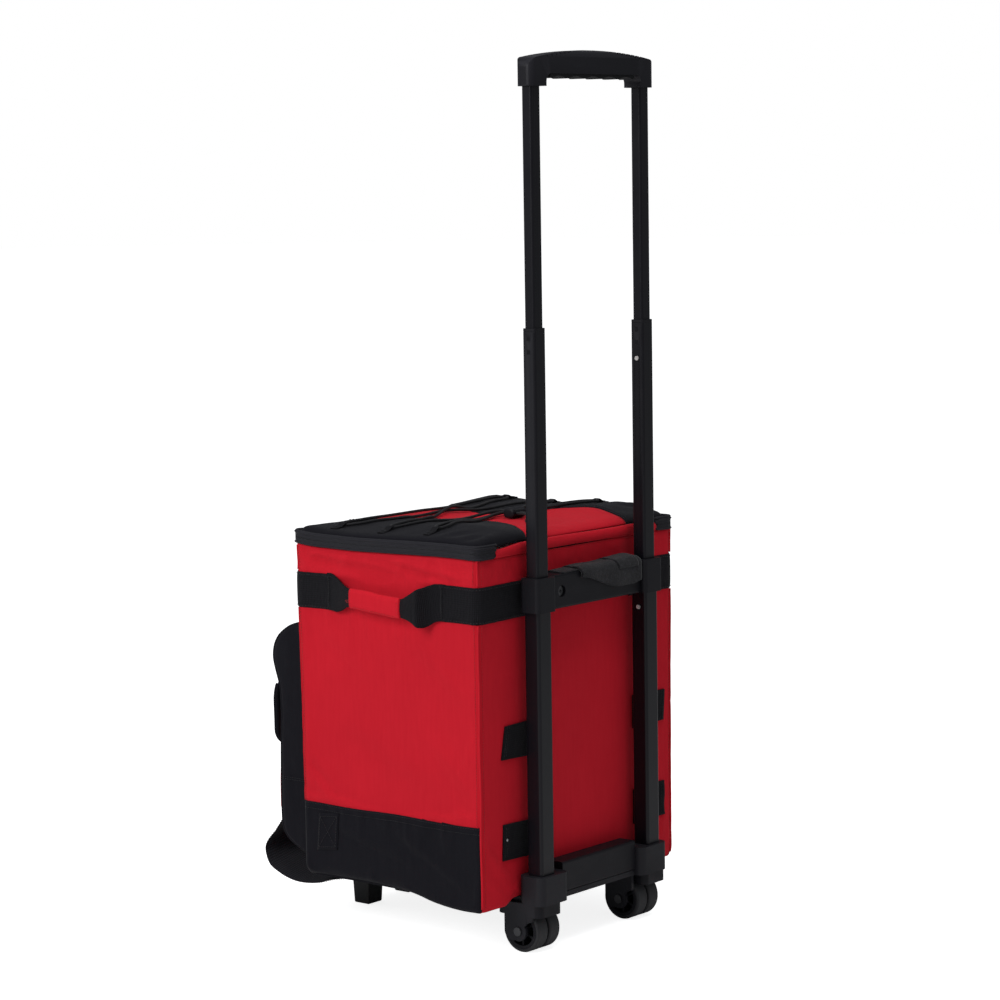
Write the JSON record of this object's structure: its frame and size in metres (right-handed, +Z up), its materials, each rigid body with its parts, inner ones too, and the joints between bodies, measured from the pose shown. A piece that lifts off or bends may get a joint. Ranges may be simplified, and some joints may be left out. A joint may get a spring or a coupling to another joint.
{
  "type": "wheeled cooler bag",
  "caption": "Soft insulated cooler bag on a wheeled trolley base, with a telescopic pull handle, zipped hinged lid, elastic cord on the lid, front pockets and side carry handles.",
  "frame": {"origin": "middle of the footprint, on the floor", "axes": "+X across the bag, +Y towards the pull handle, +Z up"},
  "size_m": [0.3842, 0.388, 0.988],
  "materials": {
    "frame_plastic": "moulded, fine satin texture",
    "foot_rubber": "matt moulded rubber",
    "wheel_tread": "smooth hard tread",
    "tube_paint": "satin black powder coat",
    "steel": "zinc plated",
    "grip_plastic": "moulded, satin",
    "grip_soft": "soft touch",
    "red_fabric": "coated plain-weave polyester",
    "black_fabric": "coated plain-weave polyester",
    "webbing": "ribbed polypropylene webbing",
    "hook_and_loop": "brushed loop pile",
    "zip_tape": "woven tape with coil",
    "zip_metal": "black enamel",
    "insulation_foam": "closed-cell foam",
    "liner_film": "heat-welded film",
    "stiffener": "pressed board",
    "elastic_cord": "braided sheath"
  },
  "bodies": {
    "cart": {"bracket_left": "frame_plastic", "bracket_right": "frame_plastic", "base_crossbar": "frame_plastic", "base_deck": "frame_plastic", "front_feet": "foot_rubber", "wheel_axles": "steel", "outer_tube_left": "tube_paint", "outer_tube_right": "tube_paint", "outer_bushes": "frame_plastic", "upper_bracket": "frame_plastic", "frame_bolts": "steel", "bag_shell": "red_fabric", "stiffener_boards": "stiffener", "foam_insulation": "insulation_foam", "bag_liner": "liner_film", "lower_side_panels": "black_fabric", "corner_piping": "red_fabric", "webbing_front": "webbing", "webbing_rear": "webbing", "side_handle_left": "webbing", "side_handle_right": "webbing", "handle_sleeves": "red_fabric", "tube_tabs": "webbing", "base_patches": "webbing", "front_pocket": "black_fabric", "pocket_zip": "zip_tape", "lower_pocket": "red_fabric", "front_strap_loops": "webbing", "crossbar_wrap": "hook_and_loop", "rim_zip": "zip_tape", "hinge_fold": "red_fabric"},
    "wheel_left_body": {"wheel_core_left": "frame_plastic", "tyres_left": "wheel_tread"},
    "wheel_right_body": {"wheel_core_right": "frame_plastic", "tyres_right": "wheel_tread"},
    "middle_stage": {"middle_tube_left": "tube_paint", "middle_tube_right": "tube_paint", "middle_bushes": "frame_plastic", "middle_plugs": "frame_plastic", "middle_catches": "steel"},
    "handle_stage": {"inner_tube_left": "tube_paint", "inner_tube_right": "tube_paint", "inner_plugs": "frame_plastic", "inner_catches": "steel", "grip_shell": "grip_plastic", "grip_insert": "grip_soft", "grip_rivets": "steel"},
    "lid": {"lid_zip": "zip_tape", "lid_cover": "black_fabric", "lid_foam": "insulation_foam", "lid_liner": "liner_film", "cord_loops": "webbing", "bungee_cord": "elastic_cord"},
    "cord_lock_body": {"cord_lock": "frame_plastic", "lock_spring": "steel"},
    "lock_button_body": {"lock_button": "frame_plastic"},
    "rim_slider_left_body": {"rim_slider_left": "zip_metal"},
    "rim_slider_right_body": {"rim_slider_right": "zip_metal"},
    "pocket_slider_body": {"pocket_slider": "zip_metal"},
    "flap": {"pocket_flap": "black_fabric"}
  },
  "joints": [
    {"name": "middle_slide", "type": "slide", "parent": "cart", "child": "middle_stage", "axis": [0, 0, -1], "range_m": [0, 0.2675], "deforming": ["middle_catches"]},
    {"name": "handle_slide", "type": "slide", "parent": "middle_stage", "child": "handle_stage", "axis": [0, 0, -1], "range_m": [0, 0.2585], "deforming": ["inner_catches"]},
    {"name": "wheel_left_spin", "type": "hinge", "parent": "cart", "child": "wheel_left_body", "pos_m": [0.092, 0.1594, 0.0246], "axis": [1, 0, 0], "continuous": true},
    {"name": "wheel_right_spin", "type": "hinge", "parent": "cart", "child": "wheel_right_body", "pos_m": [-0.092, 0.1594, 0.0246], "axis": [1, 0, 0], "continuous": true},
    {"name": "lid_hinge", "type": "hinge", "parent": "cart", "child": "lid", "pos_m": [0, 0.1572, 0.455], "axis": [-1, 0, 0], "range_deg": [0, 75]},
    {"name": "lock_slide", "type": "slide", "parent": "lid", "child": "cord_lock_body", "axis": [0, 1, 0], "range_m": [0, 0.028]},
    {"name": "lock_press", "type": "slide", "parent": "cord_lock_body", "child": "lock_button_body", "axis": [1, 0, 0], "range_m": [0, 0.003], "stiffness_N_per_m": 400, "deforming": ["lock_spring"]},
    {"name": "rim_slider_left_run", "type": "slide", "parent": "cart", "child": "rim_slider_left_body", "axis": [1, 0, 0], "range_m": [0, 0.15]},
    {"name": "rim_slider_right_run", "type": "slide", "parent": "cart", "child": "rim_slider_right_body", "axis": [-1, 0, 0], "range_m": [0, 0.15]},
    {"name": "pocket_slider_run", "type": "slide", "parent": "cart", "child": "pocket_slider_body", "axis": [1, 0, 0], "range_m": [0, 0.19]},
    {"name": "flap_hinge", "type": "hinge", "parent": "cart", "child": "flap", "pos_m": [0, -0.1616, 0.274], "axis": [-1, 0, 0], "range_deg": [0, 90]}
  ]
}
